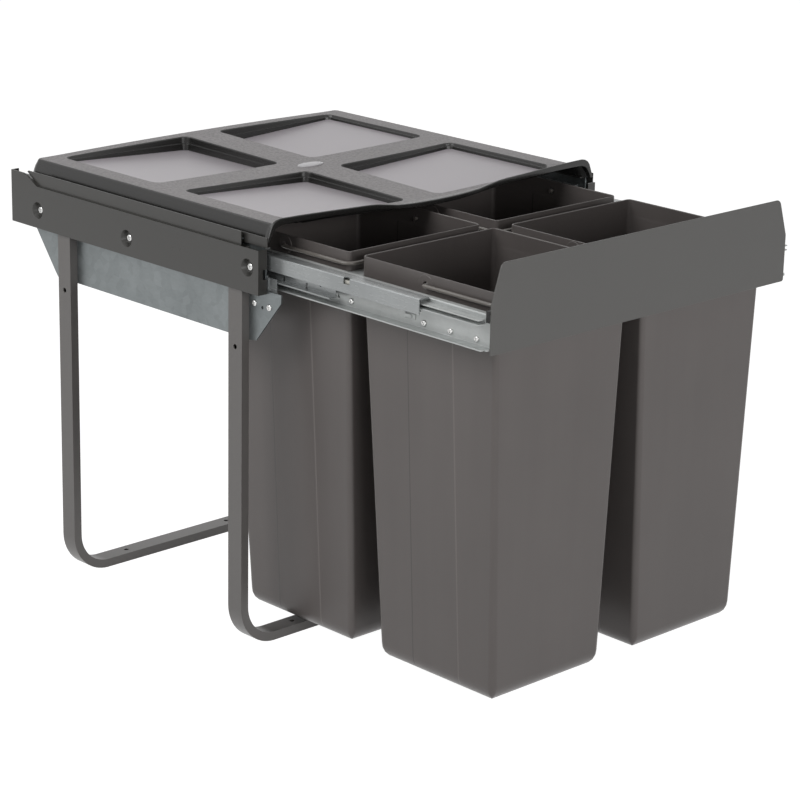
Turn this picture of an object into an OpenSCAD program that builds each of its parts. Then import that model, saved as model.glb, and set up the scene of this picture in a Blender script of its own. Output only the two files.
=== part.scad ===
// Pull-out waste cabinet for a floor cupboard: two tube hoops carry a pair of ball slides, and the
// slides carry a frame with four tapered bins. A lid over the back half closes the bins when they
// are pushed in. Millimetres, +Z up, the front faces -Y, and the origin is on the floor, in the
// middle of the pattern of floor screws.

/* [Frame] */
// Half of the width over the two side covers
half_width = 281; // [276:0.5:286]
// Front end of the side covers
cover_front = -205; // [-210:1:-200]
// Back end of the side covers
cover_back = 265; // [262:1:275]
// Lower edge of the side covers
cover_bottom = 443.5; // [440:0.5:447]
// Upper edge of a cover's wide face
cover_shoulder = 496; // [495:0.5:498]
// Top of a cover's upper flange
cover_top = 512; // [509:0.5:513]
// Thickness of the painted covers and of the bent runner sheet
sheet = 1.5; // [1.2:0.1:1.5]

/* [Hoops] */
// Depth of the hoop tube, along the slides
tube_depth = 24; // [20:1:26]
// Thickness of the hoop tube, across the legs
tube_thick = 11; // [10:0.5:11]
// Wall of the hoop tube
tube_wall = 1.5; // [1.2:0.1:2]
// Radius inside the bend of a hoop
bend_radius = 42; // [35:1:50]
// Distance of each hoop from the middle of the screw pattern
hoop_offset = 162; // [155:1:165]
// Distance of the outer floor screws from the middle
floor_screw_outer = 187; // [170:1:200]
// Distance of the inner floor screws from the middle
floor_screw_inner = 18; // [15:1:30]
// Radius of the screw holes in the hoops
frame_hole_r = 3; // [2.5:0.1:3.5]
// Height of the screw holes in the legs
leg_hole_height = 374; // [360:1:378]

/* [Lid] */
// Half of the width of the lid's flat top
lid_half_width = 250.5; // [248:0.5:252]
// Front edge of the lid
lid_front = -209.5; // [-209.5:0.5:-206]
// Back edge of the lid's flat top
lid_back = 249; // [246:1:252]
// Lower face of the lid
lid_bottom = 503.4; // [503.4:0.1:504.5]
// Top of the lid at its sides
lid_top = 521.5; // [520:0.5:522.5]
// How far the lid's top dips in the middle of its front edge
lid_dip = 8; // [6:0.5:8]
// Width of the bar between the left and right panels
centre_bar = 53; // [48:1:60]

/* [Bins] */
// Outer width and depth of a bin's collar
collar_size = 210; // [206:1:212]
// Height of a bin's collar
collar_height = 23; // [20:1:24]
// Upper edge of the bins
rim_height = 503; // [502:0.1:503]
// Underside of the bins
bin_bottom = 28; // [25:1:40]
// Outer width of a bin's foot
foot_width = 173; // [160:1:176]
// Outer depth of a bin's foot
foot_depth = 181; // [170:1:184]
// Wall of the bins
bin_wall = 2; // [1.6:0.1:2.2]
// Distance of a bin's middle from the middle of the cabinet
bin_offset = 118; // [117:0.5:118]
// Front face of the front pair of bins
front_bins_y = -523.5; // [-524:0.5:-523]
// Front face of the rear pair of bins
rear_bins_y = -292.5; // [-293:0.5:-292]
// Radius of the handle wire
wire_r = 2.3; // [1.8:0.1:2.3]

/* [Slides] */
// Front end of the middle runners
middle_front = -446; // [-447:1:-440]
// Back end of the middle runners
middle_back = 0; // [-6:1:0]
// Front end of the carriage rails
rail_front = -537; // [-537:1:-537]
// Back end of the carriage rails
rail_back = -75; // [-78:1:-75]
// Radius of the slide balls
ball_r = 1.5; // [1.3:0.1:1.5]
// Balls in each row of a cage
balls_in_row = 6; // [3:1:6]

/* [Front panel] */
// Half of the width of the front panel
panel_half_width = 246; // [240:1:250]
// Lower edge of the front panel
panel_bottom = 441; // [438:1:444]
// Upper edge of the front panel
panel_top = 541; // [530:1:545]
// Thickness of the front panel
panel_thick = 1.4; // [1.2:0.1:1.6]

/* [Hidden] */
$fn = 48;
slip = 0.2;      // gap round a screw in its hole
past = 1;        // how far a cut runs past the face it opens

// Widths across the right side, outermost first
cover_in = half_width - sheet;
flange_out = half_width - 3.5;
flange_in = flange_out - sheet;
leg_out = 278.5;
leg_in = leg_out - tube_thick;
plate_in = leg_in - 2;
web_in = plate_in - sheet;
middle_out = 262;
middle_in = middle_out - sheet;
inner_out = 258.5;
head_out = 246;
head_in = 238;
rail_web_out = 243;
rail_web_in = rail_web_out - sheet;
bracket_in = rail_web_in - sheet;

// Heights of the runners
fixed_z = [464.5, 492.5];
middle_z = [469.7, 487.2];
inner_z = [475, 481.7];
head_z = [477, 485.9];
lip_z = 446.8;
leg_top = cover_shoulder - 2.5;
collar_bottom = rim_height - collar_height;
beam_z = [452, collar_bottom];
plate_bottom = 383.5;
hook_z = [446, 462];

pivot_y = 107.5;                       // handle pivot behind a bin's front face
pivot_z = rim_height - 13;
collar_inset = 1.2;                    // step from the collar in to the body
foot_lean = 5;                         // how far the foot's front stands behind the collar's
corner_r = 6;
rest = 0.9;                            // how far a collar lies on a shelf

outer_cage_y = [-152, -52];
inner_cage_y = [-360, -160];
guide_front = -303;
inner_runner_y = [-432, -92];

rail_screw_y = [-515.5, -476, -435.5, -320];
rail_screw_z = 455;
cover_screw_at = [[-185.5, 473], [35, 464.5], [211.5, 466]];
plate_screw_at = [[-209.5, 428.5], [-184, 429]];
plate_hole_at = [-197, 426];
clip_at = [-414, 459];

pocket_side = 223;
pockets_front = [-176, -1];
pockets_back = [49, 233];
panel_sheet = 0.8;

// ---- shared shapes -------------------------------------------------------------------------

// Pieces of the right side, mirrored for the left
module side(s) {
    mirror([s < 0 ? 1 : 0, 0, 0]) children();
}

// A box given by its lowest and highest corners
module block(x, y, z) {
    translate([x[0], y[0], z[0]]) cube([x[1] - x[0], y[1] - y[0], z[1] - z[0]]);
}

// Runs a section drawn in X and Z along Y
module along_y(y) {
    translate([0, y[1], 0]) rotate([90, 0, 0]) linear_extrude(y[1] - y[0]) children();
}

// Runs an outline drawn in Y and Z along X
module along_x(x) {
    translate([x[0], 0, 0]) rotate([90, 0, 90]) linear_extrude(x[1] - x[0]) children();
}

// A rod along X between two places
module rod_x(x, y, z, r) {
    translate([x[0], y, z]) rotate([0, 90, 0]) cylinder(h = x[1] - x[0], r = r);
}

// A rod along Y between two places
module rod_y(x, y, z, r) {
    translate([x, y[1], z]) rotate([90, 0, 0]) cylinder(h = y[1] - y[0], r = r);
}

// A rectangle with round corners, between two corners
module round_rect(x, y, r) {
    translate([x[0] + r, y[0]]) square([x[1] - x[0] - 2 * r, y[1] - y[0]]);
    translate([x[0], y[0] + r]) square([x[1] - x[0], y[1] - y[0] - 2 * r]);
    for (cx = [x[0] + r, x[1] - r], cy = [y[0] + r, y[1] - r]) translate([cx, cy]) circle(r = r);
}

// A rectangle, between two corners
module rect(x, y) {
    translate([x[0], y[0]]) square([x[1] - x[0], y[1] - y[0]]);
}

// ---- hoops and side plates -----------------------------------------------------------------

// The path of a hoop's tube, made thinner by a wall all round for the hollow inside
module hoop_tube(wall, top) {
    inner = bend_radius + wall;
    outer = bend_radius + tube_thick - wall;
    bend_x = leg_out - bend_radius - tube_thick;
    bend_z = bend_radius + tube_thick;
    half = tube_depth / 2 - wall;
    block([-bend_x, bend_x], [-half, half], [bend_z - outer, bend_z - inner]);
    for (s = [-1, 1]) side(s) {
        block([bend_x + inner, bend_x + outer], [-half, half], [bend_z, top]);
        translate([bend_x, 0, bend_z]) rotate([90, 0, 0]) rotate([0, 0, -90])
            rotate_extrude(angle = 90) rect([inner, outer], [-half, half]);
    }
}

module leg_hoop(y) {
    color("dimgray") translate([0, y, 0]) difference() {
        hoop_tube(0, leg_top);
        hoop_tube(tube_wall, leg_top + past);
        for (x = [-floor_screw_outer, -floor_screw_inner, floor_screw_inner, floor_screw_outer])
            translate([x, 0, -past]) cylinder(h = tube_thick + 2 * past, r = frame_hole_r);
        for (s = [-1, 1]) side(s)
            rod_x([leg_in - past, leg_out + past], 0, leg_hole_height, frame_hole_r);
    }
}

module side_plate(s) {
    color("lightslategray") side(s) difference() {
        union() {
            along_x([plate_in, leg_in]) polygon([
                [-229, 447], [-229, 437], [-186, plate_bottom + 1], [-178, plate_bottom],
                [189.5, plate_bottom], [196, 391], [257, 469.5], [257, lid_bottom],
                [cover_front + 3, lid_bottom], [cover_front + 3, 447]]);
            block([leg_in, flange_in - 0.5], [-169, 230], [lid_bottom - sheet, lid_bottom]);
        }
        for (at = plate_screw_at) rod_x([plate_in - past, leg_in + past], at[0], at[1], 2 + slip);
        rod_x([plate_in - past, leg_in + past], plate_hole_at[0], plate_hole_at[1], 2);
        for (at = cover_screw_at) rod_x([plate_in - past, leg_in + past], at[0], at[1], 2 + slip);
    }
}

// ---- covers --------------------------------------------------------------------------------

dimple_r = 10.5;
dimple_floor_r = 7;
dimple_depth = 6;

// The pressed seat round a cover screw, with its axis along X
module dimple(y, z) {
    translate([half_width, y, z]) rotate([0, -90, 0]) rotate_extrude() polygon([
        [2 + slip, dimple_depth], [dimple_floor_r, dimple_depth], [dimple_r, 0],
        [dimple_r, sheet], [dimple_floor_r, dimple_depth + sheet],
        [2 + slip, dimple_depth + sheet]]);
}

module rail_cover(s) {
    step_z = [cover_shoulder - sheet, cover_shoulder];
    color("dimgray") side(s) {
        difference() {
            union() {
                block([cover_in, half_width], [cover_front, cover_back], [cover_bottom, cover_shoulder]);
                along_x([cover_in, half_width]) polygon([
                    [211, step_z[0]], [cover_back, step_z[0]], [cover_back, cover_top - 3],
                    [239, cover_top - 3], [236, cover_top - 6]]);
            }
            for (at = cover_screw_at) rod_x([cover_in - past, half_width + past], at[0], at[1], dimple_r);
        }
        for (at = cover_screw_at) dimple(at[0], at[1]);
        // joggle and upper flange, cut off on a slant at the back
        block([flange_in, cover_in], [-171, 211], step_z);
        along_x([flange_in, flange_out]) polygon([
            [-171, step_z[0]], [211, step_z[0]], [236, cover_top - 1.5], [234, cover_top],
            [-171, cover_top]]);
        along_x([flange_in, half_width]) polygon([
            [209, step_z[0]], [211, step_z[0]], [236.5, cover_top - 6], [235, cover_top - 4.5]]);
        // front return with a slot for the slide, and back return
        along_y([cover_front, cover_front + sheet]) polygon([
            [cover_in, cover_bottom], [268, cover_bottom], [268, 461], [274, 461], [274, 472.5],
            [268, 472.5], [268, cover_shoulder], [cover_in, cover_shoulder]]);
        block([270, cover_in], [cover_back - sheet, cover_back], [cover_bottom, cover_top - 3]);
    }
}

module cover_spacers() {
    color("black") for (s = [-1, 1], at = cover_screw_at) side(s) difference() {
        rod_x([leg_in, half_width - dimple_depth - sheet], at[0], at[1], 6);
        rod_x([leg_in - past, half_width], at[0], at[1], 2 + slip);
    }
}

// A pan head screw whose head sits on the face at x and whose shank runs inwards
module pan_screw(x, y, z, length, head_r) {
    rod_x([x - length, x + 0.4], y, z, 2);
    rod_x([x, x + 1.2], y, z, head_r);
    translate([x + 1.2, y, z]) rotate([0, 90, 0]) cylinder(h = 1.1, r1 = head_r, r2 = head_r - 1.4);
}

module cover_screws() {
    color("silver") for (s = [-1, 1], at = cover_screw_at) side(s)
        pan_screw(half_width - dimple_depth, at[0], at[1], 9.5, 4.5);
}

module plate_screws() {
    color("silver") for (s = [-1, 1], at = plate_screw_at) side(s)
        pan_screw(leg_in, at[0], at[1], 5.5, 3.8);
}

// ---- slides --------------------------------------------------------------------------------

module fixed_runner(s) {
    y = [-190, 240];
    color("silver") side(s) {
        block([web_in, plate_in], y, fixed_z);
        block([250, web_in], y, [fixed_z[1] - sheet, fixed_z[1]]);
        block([254, web_in], y, [fixed_z[0], fixed_z[0] + sheet]);
        // foot that the plate screws go through, and the hook tab at the front
        difference() {
            block([web_in, plate_in], [-203, -150], [hook_z[0], fixed_z[0]]);
            rod_x([web_in - past, plate_in + past], -165, 455, 2.5);
        }
        difference() {
            block([web_in, plate_in], [-203, -175], [424, hook_z[0]]);
            rod_x([web_in - past, plate_in + past], plate_screw_at[1][0], plate_screw_at[1][1], 2 + slip);
        }
        block([middle_out + 0.5, plate_in], [-204.5, -203], hook_z);
        block([middle_out + 0.5, web_in], [-217, -204.5], hook_z);
    }
}

module runner_buffers() {
    color("black") for (s = [-1, 1]) side(s)
        block([252, web_in], [middle_back + 239.3, middle_back + 246], [467, 490]);
}

module middle_runner(s) {
    y = [middle_front, middle_back];
    color("silver") side(s) difference() {
        union() {
            block([middle_in, middle_out], y, middle_z);
            block([head_out + 1, middle_out], y, [middle_z[1] - sheet, middle_z[1]]);
            block([250.5, middle_out], [y[0] + 8, y[1]], [middle_z[0], middle_z[0] + sheet]);
            // lower guide angle
            block([250.5, 252], [guide_front, middle_back], [457, middle_z[0] + sheet]);
            block([250.5, 261.5], [guide_front, middle_back], [457, 457 + sheet]);
        }
        block([257, middle_out + past], [-336, -326], [480, middle_z[1] + past]);
        for (slot_y = [-255, -216])
            block([250, 252.5], [slot_y - 2, slot_y + 2], [458.5, 464]);
        rod_x([250, 252.5], -278, 466, 1.5);
    }
}

// Heights of the two ball rows: between the fixed and middle members, and inside the middle one
outer_rows = [(fixed_z[0] + sheet + middle_z[0]) / 2, (middle_z[1] + fixed_z[1] - sheet) / 2];
inner_rows = [(middle_z[0] + sheet + inner_z[0]) / 2, (inner_z[1] + middle_z[1] - sheet) / 2];
outer_ball_x = 258;
inner_ball_x = 254;
cage_sheet = 0.6;

function ball_y(y, i) = y[0] + 8 + i * (y[1] - y[0] - 16) / (balls_in_row - 1);

module cage(s, x, y, rows, ball_x) {
    color("gainsboro") side(s) difference() {
        union() {
            block([x - cage_sheet, x], y, [rows[0] - cage_sheet / 2, rows[1] + cage_sheet / 2]);
            for (z = rows)
                block([ball_x - 3, x], y, [z - cage_sheet / 2, z + cage_sheet / 2]);
        }
        for (z = rows, i = [0 : balls_in_row - 1])
            translate([ball_x, ball_y(y, i), z - past]) cylinder(h = 2 * past, r = ball_r + slip);
    }
}

module balls(s, y, rows, ball_x) {
    color("silver") side(s) for (z = rows, i = [0 : balls_in_row - 1])
        translate([ball_x, ball_y(y, i), z]) sphere(r = ball_r, $fn = 24);
}

module inner_runner(s) {
    color("silver") side(s) {
        block([head_out, head_out + sheet], inner_runner_y, inner_z);
        for (z = [inner_z[0], inner_z[1] - sheet])
            block([head_out, inner_out], inner_runner_y, [z, z + sheet]);
    }
}

// ---- carriage ------------------------------------------------------------------------------

module carriage_rail(s) {
    color("silver") side(s) difference() {
        along_y([rail_front, rail_back]) {
            difference() {
                rect([head_in, head_out], head_z);
                rect([head_in + 1.2, head_out - 1.2], [head_z[0] + 1.2, head_z[1] - 1.2]);
            }
            rect([rail_web_in, rail_web_out], [lip_z, head_z[0]]);
            rect([rail_web_in, 255], [lip_z, lip_z + sheet]);
        }
        for (y = rail_screw_y)
            rod_x([rail_web_in - past, rail_web_out + past], y, rail_screw_z, 2 + slip);
        rod_x([rail_web_in - past, rail_web_out + past], -298.5, 457, 2.2);
        block([250, 256], [rail_front - past, rail_front + 4], [lip_z - past, lip_z + 2 * past]);
    }
}

module runner_front_stops() {
    color("black") for (s = [-1, 1]) side(s)
        along_y([rail_front, rail_front + 5.5]) difference() {
            rect([head_in - 1, head_out + 0.8], [head_z[0], 490]);
            rect([head_in, head_out], head_z);
            rect([head_in - 1 - past, head_in], [head_z[0] - past, head_z[1]]);
        }
}

module rail_screws() {
    color("silver") for (s = [-1, 1], y = rail_screw_y) side(s)
        pan_screw(rail_web_out, y, rail_screw_z, 5, 3.6);
}

// Spring clips that lock the rails, a small bowed leaf each
module rail_clips() {
    color("silver") for (s = [-1, 1]) side(s) translate([rail_web_out, clip_at[0], clip_at[1]]) {
        block([0, 1], [-8, 8], [-3, 3]);
        block([1, 2.5], [-3, 6], [-2, 2]);
        block([0, 2.5], [6, 8], [-3, 4]);
    }
}

module front_bracket(s) {
    color("silver") side(s) difference() {
        union() {
            block([bracket_in, rail_web_in], [rail_front, -425], [449, 474]);
            block([222, rail_web_in], [rail_front, rail_front + sheet], [449, 474]);
        }
        for (y = rail_screw_y)
            rod_x([bracket_in - past, rail_web_in + past], y, rail_screw_z, 2 + slip);
        rod_y(231, [rail_front - past, rail_front + sheet + past], 461, 2 + slip);
    }
}

// An upright web between the brackets, cut back under the box heads of the rails
module beam_web(y) {
    block([-bracket_in, bracket_in], y, [beam_z[0], head_z[0]]);
    block([-head_in, head_in], y, [head_z[0], beam_z[1]]);
}

// The shelf that the collars rest on
module beam_shelf(y) {
    block([-head_in, head_in], y, [beam_z[1] - sheet, beam_z[1]]);
}

// The end plates that a beam is screwed to the rails with
module beam_ends(y) {
    for (s = [-1, 1]) side(s) difference() {
        block([bracket_in, rail_web_in], y, [449, head_z[0]]);
        for (screw_y = rail_screw_y)
            rod_x([bracket_in - past, rail_web_in + past], screw_y, rail_screw_z, 2 + slip);
    }
}

module front_cross_member() {
    y = rail_front + sheet;
    color("silver") difference() {
        union() {
            beam_web([y, y + sheet]);
            beam_shelf([y, front_bins_y + rest]);
        }
        for (x = [-231, 231]) rod_y(x, [y - past, y + sheet + past], 461, 2 + slip);
    }
}

module middle_cross_member() {
    y = [front_bins_y + collar_size - rest, rear_bins_y + rest];
    color("silver") {
        beam_shelf(y);
        beam_web([y[0], y[0] + sheet]);
        beam_web([y[1] - sheet, y[1]]);
        beam_ends([-328, y[1]]);
    }
}

module rear_cross_member() {
    y = [rear_bins_y + collar_size - rest, rail_back];
    color("silver") {
        beam_shelf(y);
        beam_web([y[1] - sheet, y[1]]);
        beam_ends([-100, y[1]]);
    }
}

// Outline of the right half of the front panel: the upper corner leans in and is rounded
lean = 18;
lean_start = 497;
panel_corner = 8;
corner_z = panel_top - panel_corner;
corner_x = panel_half_width
    + ((lean_start - corner_z) * sin(lean) - panel_corner) / cos(lean);
foot_corner = 3;
half_outline = concat(
    [for (a = [0 : 15 : 90]) [panel_half_width - foot_corner * (1 - sin(a)),
                              panel_bottom + foot_corner * (1 - cos(a))]],
    [[panel_half_width, lean_start]],
    [for (a = [lean : 12 : 90]) [corner_x + panel_corner * cos(a), corner_z + panel_corner * sin(a)]]);

module front_panel() {
    n = len(half_outline);
    outline = concat(half_outline,
        [for (i = [1 : n]) [-half_outline[n - i][0], half_outline[n - i][1]]]);
    color("dimgray") along_y([rail_front - panel_thick, rail_front]) polygon(outline);
}

// Welded studs on the back of the panel with their nuts
module panel_screws() {
    face = rail_front + 2 * sheet;
    color("silver") for (x = [-231, 231]) {
        rod_y(x, [rail_front, face + 7], 461, 2);
        translate([x, face + 3.2, 461]) rotate([90, 0, 0]) cylinder(h = 3.2, r = 4, $fn = 6);
    }
}

// ---- lid -----------------------------------------------------------------------------------

// Section of the lid's sloping outer wall, measured outwards from the edge of its flat top
lid_wall = [[-2.5, lid_bottom], [9, lid_bottom], [8, lid_bottom + 4.5], [6.2, lid_top - 8.5],
            [3.5, lid_top - 3.5], [0, lid_top], [-2.5, lid_top]];
lid_foot = 9;                          // how far that wall reaches at its bottom
lid_corner = 5;
roof = lid_bottom + 7;                 // underside of the lid between the pockets

// Right half of the lip along the lid's front edge: a thin bar in the middle, then an S-shaped
// rise to the raised corners, where it turns down into the side walls
lip_outside = [[0, 516.3], [35, 516.8], [70, 518.8], [88, 522.5], [104, 525], [140, 526.3],
               [180, 528], [215, 529.4], [250, 530.2], [256, 529.4], [261, 527], [264.5, 523],
               [266.5, 518], [268.5, 512.7], [270.5, 508.7], [271.5, lid_bottom + 1.5]];
lip_inside = [[266.5, lid_bottom + 1.5], [265, 509], [262, 514], [258.3, 518.8], [253, 521.3],
              [238, 522.3], [209, 521.7], [170, 520.4], [135, 519.2], [104, 518], [74, 514.5],
              [37, 510.8], [0, 510]];

// Floor of a pocket: it climbs from the centre bar to the side of the lid
front_floor = [505, 514.3];
back_floor = [506, 515.7];

// A slab over a pocket's sloping floor; inset shrinks it, and z shifts its faces up from the floor
module pocket_slab(y, floor_z, inset, z, r) {
    x = [centre_bar / 2, pocket_side];
    translate([x[0], 0, floor_z[0]]) rotate([0, -atan((floor_z[1] - floor_z[0]) / (x[1] - x[0])), 0])
        translate([-x[0], 0, z[0]]) linear_extrude(z[1] - z[0])
            round_rect([x[0] + inset, x[1] - inset], [y[0] + inset, y[1] - inset], r);
}

// The walls of a pocket step in halfway down to a seat for the panel, and the middle is open
pocket_step = 5;
seat_inset = 3;
open_inset = 8;

module pocket(y, floor_z) {
    pocket_slab(y, floor_z, 0, [pocket_step, 25], 10);
    pocket_slab(y, floor_z, seat_inset, [-panel_sheet, 25], 8);
    pocket_slab(y, floor_z, open_inset, [-20, 0], 4);
}

dish_r = (pow(225, 2) + pow(lid_dip, 2)) / (2 * lid_dip);
dish_span = 360;
slab_front = lid_front + 17;

// The lip: full height at the front edge, planed off towards the flat top behind it
module lid_lip() {
    n = len(lip_outside);
    m = len(lip_inside);
    section = concat(lip_outside, lip_inside, [for (i = [1 : m - 2]) mirrored(lip_inside[m - 1 - i])],
        [mirrored(lip_inside[0])], [for (i = [1 : n - 1]) mirrored(lip_outside[n - i])]);
    difference() {
        along_y([lid_front, slab_front + 4]) polygon(section);
        along_x([-290, 290]) polygon([
            [lid_front + 6, 531], [slab_front, lid_top], [slab_front + 5, lid_top],
            [slab_front + 5, 540], [lid_front + 6, 540]]);
        for (s = [-1, 1]) side(s) translate([0, 0, 500]) linear_extrude(40) polygon([
            [272, lid_front + 6], [259, slab_front], [259, slab_front + 5], [290, slab_front + 5],
            [290, lid_front + 6]]);
    }
}

function mirrored(p) = [-p[0], p[1]];

module lid_walls() {
    for (s = [-1, 1]) side(s) {
        along_y([slab_front, lid_back - lid_corner])
            polygon([for (p = lid_wall) [lid_half_width + p[0], p[1]]]);
        translate([lid_half_width - lid_corner, lid_back - lid_corner, 0])
            rotate_extrude(angle = 90) polygon([for (p = lid_wall) [lid_corner + p[0], p[1]]]);
        // ledge that lies on the side plate
        block([lid_half_width + lid_foot - 2, flange_in - 0.5], [lid_front + 4, 230],
              [lid_bottom, lid_bottom + sheet]);
    }
    along_x([lid_corner - lid_half_width, lid_half_width - lid_corner])
        polygon([for (p = lid_wall) [lid_back + p[0], p[1]]]);
}

module lid_frame() {
    skirt = 2.5;
    color("darkslategray") difference() {
        union() {
            difference() {
                block([-lid_half_width, lid_half_width], [slab_front, lid_back], [lid_bottom, lid_top]);
                for (s = [-1, 1]) side(s) translate([0, 0, lid_bottom - past])
                    linear_extrude(lid_top - lid_bottom + 2 * past) difference() {
                        rect([lid_half_width - lid_corner, lid_half_width + past],
                             [lid_back - lid_corner, lid_back + past]);
                        translate([lid_half_width - lid_corner, lid_back - lid_corner])
                            circle(r = lid_corner);
                    }
                // the dip of the top, deepest at the front
                translate([0, lid_front, lid_top - lid_dip + dish_r])
                    rotate([atan(lid_dip / dish_span) - 90, 0, 0])
                        translate([0, 0, -20]) cylinder(h = dish_span + 60, r = dish_r, $fn = 720);
            }
            lid_walls();
            lid_lip();
        }
        for (s = [-1, 1]) side(s) {
            pocket(pockets_front, front_floor);
            pocket(pockets_back, back_floor);
        }
        // the hollow underside, between the pocket walls
        difference() {
            block([-lid_half_width + skirt, lid_half_width - skirt],
                  [slab_front - past, lid_back - skirt], [lid_bottom - past, roof]);
            for (s = [-1, 1], y = [pockets_front, pockets_back]) side(s)
                block([centre_bar / 2 - skirt, pocket_side + skirt], [y[0] - skirt, y[1] + skirt],
                      [lid_bottom - 2 * past, roof + past]);
        }
    }
}

// Clip that carries the cover's flange on to the lid's front corner, with a foot on the ledge
module lid_clip(s) {
    foot_z = [lid_bottom + sheet, lid_bottom + 2 * sheet];
    color("darkslategray") side(s) {
        along_x([flange_in, flange_out]) polygon([
            [-171.5, 498], [-171.5, cover_top], [-215, cover_top], [-218, 510], [-216.5, 505],
            [-215.5, 501], [-213, 498]]);
        block([lid_half_width + lid_foot + 0.3, flange_in], [slab_front + 5, -171.5], foot_z);
        block([272, flange_in], [-214, slab_front + 5], foot_z);
        block([272, flange_in], [-214, -206], [foot_z[0], cover_top - 1.5]);
    }
}

module lid_panel(s, y, floor_z) {
    color("rosybrown") side(s)
        pocket_slab(y, floor_z, seat_inset + slip, [-panel_sheet, 0], 8 - slip);
}

module lid_badge() {
    badge_y = 22;
    top = lid_top - lid_dip * (1 - (badge_y - lid_front) / dish_span);
    color("gray") translate([0, badge_y, top + 0.1])
        linear_extrude(1.5) round_rect([-15.5, 15.5], [-6.5, 6.5], 6.4);
}

// ---- bins ----------------------------------------------------------------------------------

// Points of a rectangle whose corners are turned in short straight steps
function corner_points(cx, cy, r, start) =
    [for (a = [start : 15 : start + 90]) [cx + r * cos(a), cy + r * sin(a)]];
function soft_rect(x, y, r) = concat(
    corner_points(x[1] - r, y[1] - r, r, 0), corner_points(x[0] + r, y[1] - r, r, 90),
    corner_points(x[0] + r, y[0] + r, r, 180), corner_points(x[1] - r, y[0] + r, r, 270));

// The tapered body, from under the collar down to its foot; wall is taken off all round
module bin_body(wall, top_z, bottom_z) {
    half_top = collar_size / 2 - collar_inset - wall;
    half_foot = foot_width / 2 - wall;
    front = collar_inset + wall;
    top_back = collar_size - collar_inset - wall;
    foot_y = [foot_lean + wall, foot_lean + foot_depth - wall];
    r = corner_r - wall;
    edge = 3;
    slice = 0.1;
    hull() {
        translate([0, 0, top_z - slice]) linear_extrude(slice)
            polygon(soft_rect([-half_top, half_top], [front, top_back], r));
        translate([0, 0, bottom_z + edge]) linear_extrude(slice)
            polygon(soft_rect([-half_foot, half_foot], foot_y, r));
        translate([0, 0, bottom_z]) linear_extrude(slice)
            polygon(soft_rect([edge - half_foot, half_foot - edge],
                              [foot_y[0] + edge, foot_y[1] - edge], r));
    }
}

// A collar steps out from the body; the inside is the body's and the collar's, less the wall
module bin(x, y) {
    half = collar_size / 2;
    shelf = collar_bottom + bin_wall;
    color("dimgray") translate([x, y, 0]) difference() {
        union() {
            bin_body(0, collar_bottom, bin_bottom);
            translate([0, 0, collar_bottom]) linear_extrude(collar_height)
                polygon(soft_rect([-half, half], [0, collar_size], corner_r));
            for (s = [-1, 1]) side(s) rod_x([half - past, half + 1], pivot_y, pivot_z, 7);
        }
        bin_body(bin_wall, shelf, bin_bottom + bin_wall);
        translate([0, 0, shelf]) linear_extrude(collar_height)
            polygon(soft_rect([-half + bin_wall, half - bin_wall],
                [bin_wall, collar_size - bin_wall], corner_r - bin_wall));
        for (s = [-1, 1]) side(s) rod_x([half - 4, half + 4], pivot_y, pivot_z, wire_r + 0.08);
    }
}

// A wire bail that lies forward round the collar; its ends turn in through the collar
module handle(x, y) {
    arm_x = collar_size / 2 + 4;
    bend = 12;
    turn = 2.5;
    bar_y = -4;
    color("silver") translate([x, y, pivot_z]) {
        rod_x([-arm_x + bend, arm_x - bend], bar_y, 0, wire_r);
        for (s = [-1, 1]) side(s) {
            translate([arm_x - bend, bar_y + bend, 0]) rotate([0, 0, -90])
                rotate_extrude(angle = 90) translate([bend, 0]) circle(r = wire_r);
            rod_y(arm_x, [bar_y + bend, pivot_y - turn], 0, wire_r);
            translate([arm_x - turn, pivot_y - turn, 0])
                rotate_extrude(angle = 90) translate([turn, 0]) circle(r = wire_r);
            rod_x([collar_size / 2 - 4.5, arm_x - turn], pivot_y, 0, wire_r);
        }
    }
}

// ---- nodes ---------------------------------------------------------------------------------

leg_hoop(-hoop_offset);  // front_leg_hoop
leg_hoop(hoop_offset);  // rear_leg_hoop
side_plate(-1);  // left_side_plate
side_plate(1);  // right_side_plate
rail_cover(-1);  // left_rail_cover
rail_cover(1);  // right_rail_cover
cover_spacers();
cover_screws();
plate_screws();
fixed_runner(-1);  // left_fixed_runner
fixed_runner(1);  // right_fixed_runner
runner_buffers();
lid_frame();
lid_clip(-1);  // left_lid_clip
lid_clip(1);  // right_lid_clip
lid_panel(-1, pockets_front, front_floor);  // lid_panel_front_left
lid_panel(1, pockets_front, front_floor);  // lid_panel_front_right
lid_panel(-1, pockets_back, back_floor);  // lid_panel_rear_left
lid_panel(1, pockets_back, back_floor);  // lid_panel_rear_right
lid_badge();
middle_runner(-1);  // left_middle_runner
middle_runner(1);  // right_middle_runner
cage(-1, web_in - 0.6, outer_cage_y, outer_rows, outer_ball_x);  // left_outer_cage
cage(1, web_in - 0.6, outer_cage_y, outer_rows, outer_ball_x);  // right_outer_cage
balls(-1, outer_cage_y, outer_rows, outer_ball_x);  // left_outer_balls
balls(1, outer_cage_y, outer_rows, outer_ball_x);  // right_outer_balls
cage(-1, middle_in - 0.6, inner_cage_y, inner_rows, inner_ball_x);  // left_inner_cage
cage(1, middle_in - 0.6, inner_cage_y, inner_rows, inner_ball_x);  // right_inner_cage
balls(-1, inner_cage_y, inner_rows, inner_ball_x);  // left_inner_balls
balls(1, inner_cage_y, inner_rows, inner_ball_x);  // right_inner_balls
inner_runner(-1);  // left_inner_runner
inner_runner(1);  // right_inner_runner
carriage_rail(-1);  // left_carriage_rail
carriage_rail(1);  // right_carriage_rail
runner_front_stops();
rail_screws();
rail_clips();
front_bracket(-1);  // left_front_bracket
front_bracket(1);  // right_front_bracket
front_cross_member();
middle_cross_member();
rear_cross_member();
front_panel();
panel_screws();
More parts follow.
